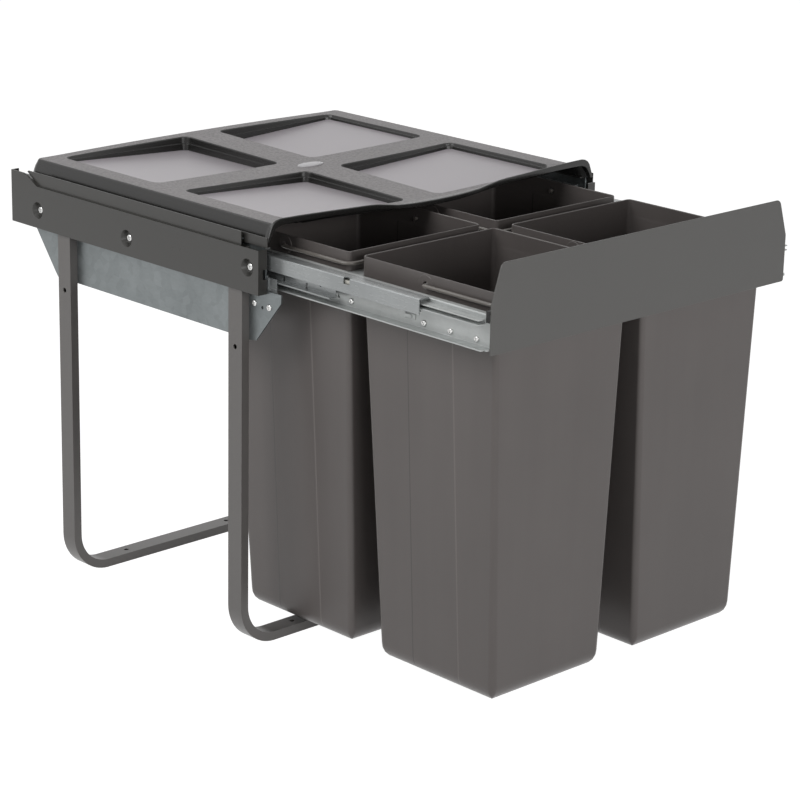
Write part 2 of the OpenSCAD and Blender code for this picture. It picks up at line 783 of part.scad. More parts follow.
bin(-bin_offset, front_bins_y);  // front_left_bin
bin(bin_offset, front_bins_y);  // front_right_bin
bin(-bin_offset, rear_bins_y);  // rear_left_bin
bin(bin_offset, rear_bins_y);  // rear_right_bin
handle(-bin_offset, front_bins_y);  // front_left_handle
handle(bin_offset, front_bins_y);  // front_right_handle
handle(-bin_offset, rear_bins_y);  // rear_left_handle
handle(bin_offset, rear_bins_y);  // rear_right_handle
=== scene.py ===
import math
import bmesh
import bpy
from mathutils import Matrix, Vector


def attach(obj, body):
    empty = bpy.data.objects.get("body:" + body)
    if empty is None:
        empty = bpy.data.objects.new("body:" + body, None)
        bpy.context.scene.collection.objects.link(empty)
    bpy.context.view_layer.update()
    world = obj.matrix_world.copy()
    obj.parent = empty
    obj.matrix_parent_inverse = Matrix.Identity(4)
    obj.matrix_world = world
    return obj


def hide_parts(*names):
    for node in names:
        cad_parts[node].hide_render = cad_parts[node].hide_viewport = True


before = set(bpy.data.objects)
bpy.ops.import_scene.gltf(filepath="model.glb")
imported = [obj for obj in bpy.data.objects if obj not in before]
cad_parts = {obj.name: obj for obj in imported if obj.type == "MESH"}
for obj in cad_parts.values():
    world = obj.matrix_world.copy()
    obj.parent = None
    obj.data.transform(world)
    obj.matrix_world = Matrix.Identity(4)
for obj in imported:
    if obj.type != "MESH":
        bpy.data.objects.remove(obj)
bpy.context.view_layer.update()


# ---- Leg hoops ---------------------------------------------------------------------------------
# Two U-shaped hoops of rectangular steel tube, each bent from one length and powder coated in warm
# grey. They are drilled for screws in the floor bar and in the outer face of each leg.

MM = 0.001
WELD = 0.002 * MM        # corners closer than this are one
FLAT, CREASE = 0.6, 30.0  # degrees between faces: less is one face, more is an edge to round


def swatch(red, green, blue):
    """A paint-card colour, 0 to 255, as Blender's linear colour."""
    def linear(value):
        value /= 255
        return value / 12.92 if value <= 0.04045 else ((value + 0.055) / 1.055) ** 2.4
    return (linear(red), linear(green), linear(blue), 1.0)


class Wire:
    """An output in a material's node tree. Arithmetic on it adds Math nodes."""

    def __init__(self, tree, socket):
        self.tree, self.socket = tree, socket

    def node(self, kind, inputs, out=0, **settings):
        made = self.tree.nodes.new("ShaderNode" + kind)
        for key, value in settings.items():
            setattr(made, key, value)
        for key, value in inputs.items():
            if isinstance(value, Wire):
                self.tree.links.new(value.socket, made.inputs[key])
            else:
                made.inputs[key].default_value = value
        return Wire(self.tree, made.outputs[out])

    def math(self, operation, a, b):
        return self.node("Math", {0: a, 1: b}, operation=operation)

    def __add__(self, other):
        return self.math("ADD", self, other)

    def __mul__(self, other):
        return self.math("MULTIPLY", self, other)

    def __sub__(self, other):
        return self.math("SUBTRACT", self, other)

    def above(self, level, width):
        """0 below a level and 1 above it, with a soft edge of a given width."""
        return self.node("MapRange", {"Value": self, "From Min": level - width / 2,
                                      "From Max": level + width / 2}, interpolation_type="SMOOTHSTEP")

    def noise(self, scale, detail=2.0, roughness=0.5):
        return self.node("TexNoise", {"Vector": self, "Scale": scale, "Detail": detail,
                                      "Roughness": roughness})

    def stretched(self, x, y, z):
        return self.node("Mapping", {"Vector": self, "Scale": (x, y, z)})

    def between(self, low, high):
        """A colour mixed from low to high as this value goes from 0 to 1."""
        return self.node("Mix", {0: self, 6: low, 7: high}, out=2, data_type="RGBA")

    def bump(self, height):
        return self.node("Bump", {"Height": self, "Distance": height, "Strength": 1.0})


class Finish:
    """A material under construction: constants go on the shader, wires vary over the surface."""

    def __init__(self, name, **constants):
        self.material = bpy.data.materials.new(name)
        self.material.use_nodes = True
        tree = self.material.node_tree
        self.shader = tree.nodes["Principled BSDF"]
        for key, value in constants.items():
            self.shader.inputs[key.replace("_", " ").title().replace("Ior", "IOR")].default_value = value
        self.place = Wire(tree, tree.nodes.new("ShaderNodeTexCoord").outputs["Object"])

    def vary(self, **wires):
        tree = self.material.node_tree
        for key, wire in wires.items():
            tree.links.new(wire.socket, self.shader.inputs[key.replace("_", " ").title()])
        return self.material


def powder_coat(name, colour, pale, roughness):
    """Baked powder paint: nearly even colour, an orange-peel skin and a soft sheen."""
    coat = Finish(name, Metallic=0.0, Specular_IOR_Level=0.5)
    cloud = coat.place.noise(9.0, 3.0)
    speck = coat.place.noise(1600.0, 1.0)
    peel = coat.place.noise(700.0, 2.0)
    return coat.vary(
        Base_Color=(cloud * 0.7 + speck * 0.3).between(colour, pale),
        Roughness=cloud * 0.08 + peel * 0.06 + (roughness - 0.07),
        Normal=peel.bump(0.00003))


def set_material(piece, material):
    piece.data.materials.clear()
    piece.data.materials.append(material)
    for face in piece.data.polygons:
        face.material_index = 0


def make_piece(name, bm, material, body, replaces=(), smooth_angle=35.0, wall=0.0):
    """Turns a bmesh into a piece that rides on a body and stands for CAD nodes."""
    for face in bm.faces:
        face.smooth = True
    for edge in bm.edges:
        edge.smooth = edge.calc_face_angle(0.0) < math.radians(smooth_angle)
    mesh = bpy.data.meshes.new(name)
    bm.to_mesh(mesh)
    bm.free()
    piece = bpy.data.objects.new(name, mesh)
    bpy.context.scene.collection.objects.link(piece)
    set_material(piece, material)
    if wall:
        thick = piece.modifiers.new("wall", "SOLIDIFY")
        thick.thickness = wall
        thick.offset = -1.0
        thick.use_even_offset = True
    weighted = piece.modifiers.new("weighted", "WEIGHTED_NORMAL")
    weighted.keep_sharp = True
    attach(piece, body)
    if replaces:
        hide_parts(*replaces)
    return piece


def softened(node, radius, wide_edges=None, wide_radius=0.0, segments=2):
    """A welded copy of a CAD node's mesh with its sharp edges rounded by a small radius. Where
    wide_edges(middle of edge, direction) is true they get the larger radius first."""
    bm = bmesh.new()
    bm.from_mesh(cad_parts[node].data)
    bmesh.ops.remove_doubles(bm, verts=bm.verts, dist=WELD)
    bmesh.ops.dissolve_limit(bm, angle_limit=math.radians(FLAT), use_dissolve_boundaries=False,
                             verts=bm.verts, edges=bm.edges, delimit=set())

    def creases():
        return [e for e in bm.edges if e.is_manifold and e.calc_face_angle(0.0) > math.radians(CREASE)]

    def round_off(edges, offset, steps):
        bmesh.ops.bevel(bm, geom=edges, offset=offset, offset_type="OFFSET", segments=steps,
                        profile=0.5, affect="EDGES", clamp_overlap=True, material=-1)

    if wide_edges:
        round_off([e for e in creases() if wide_edges((e.verts[0].co + e.verts[1].co) / 2 / MM,
                                                      e.verts[1].co - e.verts[0].co)], wide_radius, 4)
    round_off(creases(), radius, segments)
    return bm


hoop_paint = powder_coat("hoop_paint", swatch(98, 95, 93), swatch(106, 103, 101), roughness=0.34)
for end in ("front", "rear"):
    make_piece(f"{end}_hoop", softened(f"{end}_leg_hoop", 1.6 * MM, segments=3), hoop_paint, "frame",
               [f"{end}_leg_hoop"])


# ---- Side plates -------------------------------------------------------------------------------
# Galvanised sheet plates between the hoops, one each side. They carry the covers, the lid's side
# ledges and the fixed members of the slides.

def galvanised(name, dull, bright, grain, metallic=0.85, roughness=0.4, spangle=0.22):
    """Zinc-coated sheet: faint crystals, clouds, fine rolling streaks and a satin gloss."""
    zinc = Finish(name, Metallic=metallic, Specular_IOR_Level=0.5)
    cloud = zinc.place.noise(14.0, 4.0, 0.6)
    crystal = zinc.place.node("TexVoronoi", {"Vector": zinc.place, "Scale": 95.0}, out=1)
    crystal = crystal.node("SeparateColor", {"Color": crystal})
    streak = zinc.place.stretched(*grain).noise(420.0, 3.0, 0.6)
    tone = cloud * 0.7 + crystal * spangle + streak * 0.3 - spangle / 2
    return zinc.vary(
        Base_Color=tone.between(dull, bright),
        Roughness=streak * 0.08 + crystal * (spangle / 4) + (roughness - 0.06),
        Normal=streak.bump(0.000008))


zinc_plate = galvanised("zinc_plate", swatch(101, 106, 107), swatch(143, 148, 149),
                        grain=(1.0, 0.35, 1.0))
for side in ("left", "right"):
    make_piece(f"{side}_plate", softened(f"{side}_side_plate", 0.3 * MM), zinc_plate, "frame",
               [f"{side}_side_plate"])


# ---- Rail covers -------------------------------------------------------------------------------
# Painted sheet covers along both sides: the wide face hides the fixed runner, and a joggled upper
# flange stands beside the lid. Each is held by three screws in pressed dimples.

cover_paint = powder_coat("cover_paint", swatch(52, 51, 49), swatch(59, 58, 55), roughness=0.3)
for side in ("left", "right"):
    make_piece(f"{side}_cover", softened(f"{side}_rail_cover", 0.45 * MM), cover_paint, "frame",
               [f"{side}_rail_cover"])


def stretch(bm, ring, place):
    """Extrudes a ring of edges, puts each new corner where the rule says and gives the new ring."""
    made = bmesh.ops.extrude_edge_only(bm, edges=ring)["geom"]
    corners = {v for v in made if isinstance(v, bmesh.types.BMVert)}
    for corner in corners:
        corner.co = place(corner.co)
    return [e for e in made if isinstance(e, bmesh.types.BMEdge) and set(e.verts) <= corners]


# A screw head's section as (share of its radius, height), and its cross as shares of the radius
PAN_HEAD = ((1.0, 1.0), (0.97, 1.5), (0.86, 2.0), (0.68, 2.25))
CROSS_ARM, CROSS_REACH, CROSS_TAPER, CROSS_TURN = 0.13, 0.56, 0.6, 31
CROSS_FLOOR, HEAD_SIDE, SHANK_R = 0.9, 1.2, 2.0


def cross_screw(bm, place, head, shank, out):
    """A pan head screw with a cross recess; out is +1 or -1, the way along X that its head faces."""
    screw = bmesh.new()
    bmesh.ops.create_circle(screw, cap_ends=False, radius=head, segments=24)
    ring = list(screw.edges)
    for share, height in PAN_HEAD:
        ring = stretch(screw, ring, lambda at, r=head * share, z=height: Vector(
            (at.x * r / math.hypot(at.x, at.y), at.y * r / math.hypot(at.x, at.y), z)))
    bmesh.ops.edgeloop_fill(screw, edges=ring)
    arm, reach = head * CROSS_ARM, head * CROSS_REACH
    for level in (-reach, -arm, arm, reach):
        for across in (Vector((1, 0, 0)), Vector((0, 1, 0))):
            bmesh.ops.bisect_plane(screw, geom=screw.faces[:] + screw.edges[:] + screw.verts[:],
                                   plane_co=across * level, plane_no=across)
    recess = []
    for face in screw.faces:
        middle = face.calc_center_median()
        near, far = sorted((abs(middle.x), abs(middle.y)))
        if near < arm and far < reach and middle.z > HEAD_SIDE:
            recess.append(face)
    bmesh.ops.delete(screw, geom=recess, context="FACES")
    rim = [e for e in screw.edges if e.is_boundary and min(v.co.z for v in e.verts) > HEAD_SIDE]
    rim = stretch(screw, rim, lambda at: Vector((at.x * CROSS_TAPER, at.y * CROSS_TAPER, CROSS_FLOOR)))
    bmesh.ops.contextual_create(screw, geom=rim)
    low = [e for e in screw.edges if e.is_boundary and max(v.co.z for v in e.verts) < 0.01]
    tail = stretch(screw, low, lambda at: at * (SHANK_R / head))
    tail = stretch(screw, tail, lambda at: Vector((at.x, at.y, -shank)))
    bmesh.ops.edgeloop_fill(screw, edges=tail)
    bmesh.ops.remove_doubles(screw, verts=screw.verts, dist=0.001)
    bmesh.ops.recalc_face_normals(screw, faces=screw.faces)
    turn = (Matrix.Rotation(math.radians(90 * out), 4, "Y")
            @ Matrix.Rotation(math.radians(CROSS_TURN), 4, "Z"))
    bmesh.ops.transform(screw, matrix=Matrix.Scale(MM, 4) @ Matrix.Translation(place) @ turn,
                        verts=screw.verts)
    mesh = bpy.data.meshes.new("screw")
    screw.to_mesh(mesh)
    screw.free()
    bm.from_mesh(mesh)
    bpy.data.meshes.remove(mesh)


def screw_group(name, places, face_x, head, shank, material, body):
    """One screw on each side at every place in Y and Z, with its head on the face at face_x."""
    bm = bmesh.new()
    for out in (-1, 1):
        for y, z in places:
            cross_screw(bm, Vector((out * face_x, y, z)), head, shank, out)
    make_piece(f"{name}_heads", bm, material, body, [name])


def nickel(name, dull, bright, roughness):
    """Bright plated steel: high gloss with faint handling marks."""
    plated = Finish(name, Metallic=1.0)
    cloud = plated.place.noise(240.0, 3.0)
    return plated.vary(Base_Color=cloud.between(dull, bright), Roughness=cloud * 0.12 + roughness)


screw_steel = nickel("screw_steel", swatch(188, 188, 186), swatch(225, 225, 224), roughness=0.14)
screw_group("cover_screws", ((-185.5, 473), (35, 464.5), (211.5, 466)), face_x=275.0, head=4.5,
            shank=9.4, material=screw_steel, body="frame")
screw_group("plate_screws", ((-209.5, 428.5), (-184, 429)), face_x=267.5, head=3.8, shank=5.4,
            material=screw_steel, body="frame")

nylon = Finish("spacer_nylon", Roughness=0.5)
spacer_nylon = nylon.vary(Base_Color=nylon.place.noise(60.0).between(swatch(30, 30, 30),
                                                                     swatch(40, 40, 41)))
set_material(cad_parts["cover_spacers"], spacer_nylon)


# ---- Ball slides -------------------------------------------------------------------------------
# Rolled zinc-plated members: the fixed runner on the side plate, the middle runner with its lower
# guide angle, and the small inner runner on the carriage. Ball cages run between them.

INNER_FRONT = -532.0         # Y of the inner member's front end
MIDDLE_EDGE = (262, 487.2)   # the middle member's upper outer edge, in X and Z
ROLLED = 0.35 * MM           # the small radius on the edges of rolled and bent sheet
runner_steel = galvanised("runner_steel", swatch(124, 127, 128), swatch(170, 173, 173),
                          grain=(1.0, 0.06, 1.0), metallic=0.5, roughness=0.28, spangle=0.04)
rail_steel = galvanised("rail_steel", swatch(152, 155, 154), swatch(206, 209, 208),
                        grain=(1.0, 0.3, 1.0), metallic=0.3, roughness=0.33, spangle=0.08)


def long_edges(*places):
    """Picks a member's long edges by their distance from the middle and their height."""
    def picks(middle, direction):
        return abs(direction.y) > 0.02 and any(abs(abs(middle.x) - x) < 0.4 and abs(middle.z - z) < 0.4
                                               for x, z in places)
    return picks


def lengthened(bm, front):
    """Carries the last 2 mm of a member's front end forward to a new place along Y."""
    end = min(v.co.y for v in bm.verts)
    for v in bm.verts:
        if v.co.y < end + 2 * MM:
            v.co.y += front * MM - end
    return bm


for side in ("left", "right"):
    make_piece(f"{side}_fixed_member", softened(f"{side}_fixed_runner", ROLLED), runner_steel,
               "frame", [f"{side}_fixed_runner"])
    make_piece(f"{side}_middle_member",
               softened(f"{side}_middle_runner", ROLLED, long_edges(MIDDLE_EDGE), 2.0 * MM),
               runner_steel, f"{side}_middle_runner", [f"{side}_middle_runner"])
    make_piece(f"{side}_inner_member",
               lengthened(softened(f"{side}_inner_runner", ROLLED), INNER_FRONT), rail_steel,
               "carriage", [f"{side}_inner_runner"])

cage_steel = galvanised("cage_steel", swatch(170, 168, 160), swatch(195, 193, 186),
                        grain=(1.0, 0.1, 1.0))
ball_steel = nickel("ball_steel", swatch(200, 200, 200), swatch(228, 228, 228), roughness=0.08)
for side in ("left", "right"):
    for stage in ("outer", "inner"):
        set_material(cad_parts[f"{side}_{stage}_cage"], cage_steel)
        set_material(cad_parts[f"{side}_{stage}_balls"], ball_steel)

rubber = Finish("black_rubber", Roughness=0.7)
grit = rubber.place.noise(900.0, 2.0)
black_rubber = rubber.vary(Base_Color=grit.between(swatch(24, 24, 24), swatch(36, 36, 36)),
                           Normal=grit.bump(0.00004))
set_material(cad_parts["runner_buffers"], black_rubber)


# ---- Carriage ----------------------------------------------------------------------------------
# Two bent zinc rails with a box head, joined by sheet cross members that the bins' collars hang
# on. Screws and a spring clip sit in each rail's web, and rubber stops on its front end.

HEAD_EDGE, LIP_BEND = (246, 485.9), (243, 448.3)   # a rail's rounded long edges, in X and Z
rail_edges = long_edges(HEAD_EDGE, LIP_BEND)
for side in ("left", "right"):
    make_piece(f"{side}_rail", softened(f"{side}_carriage_rail", 0.4 * MM, rail_edges, 1.5 * MM),
               rail_steel, "carriage", [f"{side}_carriage_rail"])
    make_piece(f"{side}_bracket", softened(f"{side}_front_bracket", ROLLED), rail_steel,
               "carriage", [f"{side}_front_bracket"])
for beam in ("front", "middle", "rear"):
    make_piece(f"{beam}_beam", softened(f"{beam}_cross_member", ROLLED), rail_steel, "carriage",
               [f"{beam}_cross_member"])
make_piece("rail_spring_clips", softened("rail_clips", 0.4 * MM), rail_steel, "carriage",
           ["rail_clips"])
make_piece("rail_stops", softened("runner_front_stops", 0.8 * MM, segments=3), black_rubber,
           "carriage", ["runner_front_stops"])
screw_group("rail_screws", ((-515.5, 455), (-476, 455), (-435.5, 455), (-320, 455)), face_x=243.0,
            head=3.6, shank=4.9, material=screw_steel, body="carriage")


# ---- Front panel -------------------------------------------------------------------------------
# A single painted sheet with leaning upper corners, on two welded studs in the rails' brackets.
# The door of the cupboard is screwed on in front of it.

panel_paint = powder_coat("panel_paint", swatch(84, 83, 81), swatch(89, 88, 86), roughness=0.36)
make_piece("panel", softened("front_panel", 0.5 * MM, segments=3), panel_paint, "carriage",
           ["front_panel"])
make_piece("panel_studs", softened("panel_screws", 0.25 * MM), screw_steel, "carriage",
           ["panel_screws"])


# ---- Lid frame ---------------------------------------------------------------------------------
# One moulding in grey plastic with a grained top, smooth sloping walls and four stepped pockets.
# Its front edge is a bell-mouthed lip that rises over the bins and dips to a thin bar in the middle.

LID_X, LID_BACK, LID_BEND, LID_CORNER = 250.5, 249.0, -190.0, 5.0
LID_EDGE, LID_FOOT = 521.5, 503.6
MESH_X, MESH_Y = 17.0, 25.0  # how close the cuts lie that let the top bend
FRONT_POCKET, BACK_POCKET = (-179.5, -1.0, 505.0, 514.3), (49.0, 233.0, 506.0, 515.7)
POCKET_IN, POCKET_OUT, POCKET_R, HEM = 26.5, 223.0, 10.0, 1.5

# The lip from the middle to the side: distance and height of its upper and its lower line, then
# how both turn down at the end. WALL is the slope outside the top: distance out and height.
LIP_TOP = ((0, 516.3), (35, 516.8), (70, 518.8), (88, 522.5), (104, 525), (140, 526.3), (180, 528),
           (215, 529.4), (250.5, 530.2))
LIP_UNDER = ((0, 510), (37, 510.8), (74, 514.5), (104, 518), (135, 519.2), (170, 520.4),
             (209, 521.7), (238, 522.3), (250.5, 521.6))
LIP_END_OUT = ((250, 530.2), (256, 529.4), (261, 527), (264.5, 523), (266.5, 518), (268.5, 512.7),
               (270.5, 508.7), (271.5, 504.9))
LIP_END_IN = ((250, 521.6), (253, 521.3), (258.3, 518.8), (262, 514), (265, 509), (266.5, 504.9))
WALL = ((1.3, 521.15), (2.5, 520.2), (3.5, 518), (4.8, 515.5), (6.2, 513), (8, 507.9), (9, 503.6))


def eased(value, start, end):
    """0 before the start and 1 past the end, with soft ends."""
    share = min(max((value - start) / (end - start), 0.0), 1.0)
    return share * share * (3 - 2 * share)


CROWN, DISH_SLOPE, DISH_HALF = 2.0, 0.0243, 225
STRIP_Z, STRIP_RISES, STRIP_STEP = 513.9, ((1.1, 30, 110), (6.5, 200, 226)), (162, 177)


def lid_height(x, y):
    """The grained top: level along the sides, dished towards the middle of the front edge, and
    lower in the strip between the front pockets and the lip."""
    dish = CROWN - DISH_SLOPE * (BACK_POCKET[1] - y)
    dished = LID_EDGE + dish * max(0.0, 1 - (x / DISH_HALF) ** 2)
    strip = sum((rise * eased(abs(x), start, end) for rise, start, end in STRIP_RISES), STRIP_Z)
    return dished + (min(dished, strip) - dished) * eased(-y, *STRIP_STEP)


def along(points, share):
    """The point at a share of a bent line's length."""
    left = share * sum(math.dist(a, b) for a, b in zip(points, points[1:]))
    for a, b in zip(points, points[1:]):
        length = math.dist(a, b)
        if left <= length:
            return a[0] + (b[0] - a[0]) * left / length, a[1] + (b[1] - a[1]) * left / length
        left -= length
    return points[-1]


BEND_SHIFTS = (-9, -4.5, 0, 4.5, 9)  # how far to each side the lip's bends are evened out


def level_at(points, x):
    """The height of a bent line over a distance from the middle, eased round its bends."""
    def straight(at):
        at = min(abs(at), points[-1][0])
        for a, b in zip(points, points[1:]):
            if at <= b[0]:
                return a[1] + (b[1] - a[1]) * (at - a[0]) / (b[0] - a[0])
        return points[-1][1]
    return sum(straight(abs(x) + shift) for shift in BEND_SHIFTS) / len(BEND_SHIFTS)


def sign(value):
    return -1.0 if value < 0 else 1.0


def loop(bm, x, y, radius, corners_past):
    """A rectangle of edges between two corners; those past a place on Y are rounded."""
    before = set(bm.verts)
    bmesh.ops.create_grid(bm, x_segments=1, y_segments=1, size=1.0)
    new = [v for v in bm.verts if v not in before]
    for v in new:
        v.co = Vector((x[0] if v.co.x < 0 else x[1], y[0] if v.co.y < 0 else y[1], 0.0))
    turned = [v for v in new if v.co.y > corners_past]
    bmesh.ops.bevel(bm, geom=turned, offset=radius, offset_type="OFFSET", segments=6, profile=0.5,
                    affect="VERTICES", material=-1)


def pocket_places():
    for side, hand in (("left", -1), ("right", 1)):
        for row, pocket in (("front", FRONT_POCKET), ("rear", BACK_POCKET)):
            yield f"{row}_{side}", sorted((hand * POCKET_IN, hand * POCKET_OUT)), pocket


def seat_height(pocket, x):
    """The floor of a pocket rises from the middle of the lid to its sides."""
    share = (abs(x) - POCKET_IN) / (POCKET_OUT - POCKET_IN)
    return pocket[2] + (pocket[3] - pocket[2]) * min(max(share, 0.0), 1.0)


lid = bmesh.new()
grain = lid.verts.layers.float.new("grain")
loop(lid, (-LID_X, LID_X), (LID_BEND, LID_BACK), LID_CORNER, corners_past=0.0)
for name, xs, pocket in pocket_places():
    loop(lid, (xs[0] - HEM, xs[1] + HEM), (pocket[0] - HEM, pocket[1] + HEM), POCKET_R + HEM,
         corners_past=LID_BEND)
bmesh.ops.delete(lid, geom=lid.faces[:], context="FACES_ONLY")
bmesh.ops.triangle_fill(lid, use_beauty=True, use_dissolve=False, edges=lid.edges[:],
                        normal=(0.0, 0.0, 1.0))
for step in range(-14, 15):
    bmesh.ops.bisect_plane(lid, geom=lid.faces[:] + lid.edges[:] + lid.verts[:],
                           plane_co=(step * MESH_X, 0, 0), plane_no=(1, 0, 0))
for step in range(-7, 10):
    bmesh.ops.bisect_plane(lid, geom=lid.faces[:] + lid.edges[:] + lid.verts[:],
                           plane_co=(0, step * MESH_Y, 0), plane_no=(0, 1, 0))
bmesh.ops.remove_doubles(lid, verts=lid.verts, dist=0.01)
for v in lid.verts:
    v.co.z = lid_height(v.co.x, v.co.y)
grained = set(lid.verts)


def in_pocket(v, xs, pocket):
    near = HEM + 0.5
    return (xs[0] - near <= v.co.x <= xs[1] + near
            and pocket[0] - near <= v.co.y <= pocket[1] + near)


# A pocket's wall down to its seat: how far in, the share of the way down to the seat, and a drop
POCKET_RINGS = ((-0.7, 0.0, 0.25), (-0.15, 0.0, 0.8), (0.1, 0.0, 1.5), (0.5, 0.5, -0.25),
                (0.75, 0.5, 0.0), (2.3, 0.5, 0.15), (2.6, 0.5, 0.45), (3.1, 1.0, 0.9), (8.0, 1.0, 0.9))
PLATE_BED = 0.9  # the pocket's floor lies this far under the inlay's face

for name, xs, pocket in pocket_places():
    def facing(at):
        """The way out of the pocket in plan, square to its rounded outline."""
        nearest = Vector((min(max(at.x, xs[0] + POCKET_R), xs[1] - POCKET_R),
                          min(max(at.y, pocket[0] + POCKET_R), pocket[1] - POCKET_R)))
        return (Vector((at.x, at.y)) - nearest).normalized()

    ring = [e for e in lid.edges if e.is_boundary and all(in_pocket(v, xs, pocket) for v in e.verts)]
    done = -HEM
    for inset, share, drop in POCKET_RINGS:
        def stepped(at):
            way = facing(at) * (inset - done)
            top, seat = lid_height(at.x, at.y), seat_height(pocket, at.x)
            height = top + (seat - top) * share - drop
            return Vector((at.x - way.x, at.y - way.y, max(height, seat - PLATE_BED)))
        ring = stretch(lid, ring, stepped)
        done = inset

wall = [e for e in lid.edges if e.is_boundary and any(v.co.y > LID_BEND + 0.1 for v in e.verts)
        and all(abs(v.co.x) > LID_X - LID_CORNER - 0.5 or v.co.y > LID_BACK - LID_CORNER - 0.5
                for v in e.verts)]


def outwards(at):
    """The way out of the lid in plan, square to its rounded outline."""
    nearest = Vector((min(max(at.x, LID_CORNER - LID_X), LID_X - LID_CORNER),
                      min(at.y, LID_BACK - LID_CORNER)))
    return (Vector((at.x, at.y)) - nearest).normalized()


out = 0.0
for reach, height in WALL:
    def sloped(at):
        way = outwards(at) * (reach - out)
        crown = max(0.0, lid_height(at.x, at.y) - LID_EDGE) if at.y > 240 else 0.0
        crown *= (height - LID_FOOT) / (LID_EDGE - LID_FOOT)
        return Vector((at.x + way.x, at.y + way.y, height + crown))
    wall = stretch(lid, wall, sloped)
    out = reach

lip = [e for e in lid.edges if e.is_boundary and all(v.co.y < LID_BEND + 0.01 for v in e.verts)]


def lip_place(x, z, under):
    """Where a point of the lid's section goes at the front edge, on the lip's top or under it."""
    if abs(x) <= LID_X + 0.01:
        return x, level_at(LIP_UNDER if under else LIP_TOP, x)
    share = (LID_EDGE - z) / (LID_EDGE - LID_FOOT)
    end = along(LIP_END_IN if under else LIP_END_OUT, share)
    return sign(x) * end[0], end[1]


def chain_place(y, weight, under):
    """A rule that carries a corner of the section on to the lip at y, by way of its first place."""
    def place(at):
        x, z = starts[(round(at.x, 3), round(at.z, 3))]
        top, low = lip_place(x, z, False), lip_place(x, z, True)
        goal = (top[0] + (low[0] - top[0]) * under, top[1] + (low[1] - top[1]) * under)
        spot = Vector((x + (goal[0] - x) * weight, y, z + (goal[1] - z) * weight))
        moved[(round(spot.x, 3), round(spot.z, 3))] = (x, z)
        return spot
    return place


# The lip from the bend to its rolled-in hem: Y, the share of its rise, and how far under it is
LIP_RINGS = ((-193, 0.03, 0), (-195.5, 0.11, 0), (-198, 0.25, 0), (-200.5, 0.45, 0), (-203, 0.68, 0),
             (-205, 0.86, 0), (-206.7, 0.96, 0), (-208, 1, 0), (-209, 1, 0.04), (-209.5, 1, 0.13),
             (-209.5, 1, 0.88), (-208.8, 1, 0.98), (-206, 1, 1), (-199, 1, 1))
starts = {(round(v.co.x, 3), round(v.co.z, 3)): (v.co.x, v.co.z) for e in lip for v in e.verts}
for y, weight, under in LIP_RINGS:
    moved = {}
    lip = stretch(lid, lip, chain_place(y, weight, under))
    starts = moved
for v in lid.verts:
    v[grain] = 1.0 if v in grained else 0.0
bmesh.ops.scale(lid, vec=(MM, MM, MM), verts=lid.verts)
bmesh.ops.recalc_face_normals(lid, faces=lid.faces)
margin = next(f for f in lid.faces
              if (POCKET_OUT + 12) * MM < abs(f.calc_center_median().x) < (LID_X - HEM) * MM)
if margin.normal.z < 0:
    bmesh.ops.reverse_faces(lid, faces=lid.faces)

plastic = Finish("lid_plastic", Specular_IOR_Level=0.5)
grained_area = plastic.place.node("Attribute", {}, out=2, attribute_name="grain")
coarse = plastic.place.stretched(1.0, 0.7, 1.0).noise(330.0, 2.0, 0.7).above(0.5, 0.34)
fine = plastic.place.noise(1300.0, 2.0, 0.6)
worn = plastic.place.noise(7.0, 3.0)
mottle = coarse * 0.62 + fine * 0.25 + worn * 0.2 - 0.05
# The smooth walls and lip are painted dark and the grained top pale: partly the moulding's two finishes,
# partly painted shade on the walls and painted light on the top
smooth_shaded_tone = worn.between(swatch(33, 33, 32), swatch(40, 39, 38))
grained_lit_tone = mottle.between(swatch(74, 70, 71), swatch(132, 127, 128))
lid_plastic = plastic.vary(
    Base_Color=grained_area.between(smooth_shaded_tone, grained_lit_tone),
    Roughness=grained_area * 0.18 + fine * 0.08 + 0.22,
    Normal=(coarse * grained_area + fine * 0.1).bump(0.00022))
make_piece("lid", lid, lid_plastic, "frame", ["lid_frame"], smooth_angle=50.0,
           wall=1.0 * MM)


def smooth_plastic(name, colour, pale, roughness):
    """Moulded plastic off a satin tool: even colour with faint flow clouds and a fine skin."""
    moulded = Finish(name, Specular_IOR_Level=0.38)
    cloud = moulded.place.noise(8.0, 3.0)
    skin = moulded.place.noise(900.0, 2.0)
    return moulded.vary(Base_Color=(cloud * 0.75 + skin * 0.25).between(colour, pale),
                        Roughness=skin * 0.1 + cloud * 0.05 + (roughness - 0.07),
                        Normal=skin.bump(0.00003))


def bar(bm, low, high, rounding):
    """A rounded bar between two corners in millimetres."""
    made = bmesh.ops.create_cube(bm, size=1.0)["verts"]
    for v in made:
        v.co = Vector([low[i] if v.co[i] < 0 else high[i] for i in range(3)]) * MM
    bmesh.ops.bevel(bm, geom=list({e for v in made for e in v.link_edges}), offset=rounding * MM,
                    segments=2, profile=0.5, affect="EDGES", material=-1)


LEDGE_IN, LEDGE_LOW, LEDGE_HIGH = 257.6, 503.4, 504.9
LEDGE_OUT = ((275.5, (-150, 230)), (270.2, (-200, -150.2)))   # a wide and a narrow run along Y
CLIP_IN, CLIP_OUT, CLIP_LOW, CLIP_HIGH = 270.4, 272.1, 498.2, 510.2
CLIP_FRONT, CLIP_BACK = -209.6, -150

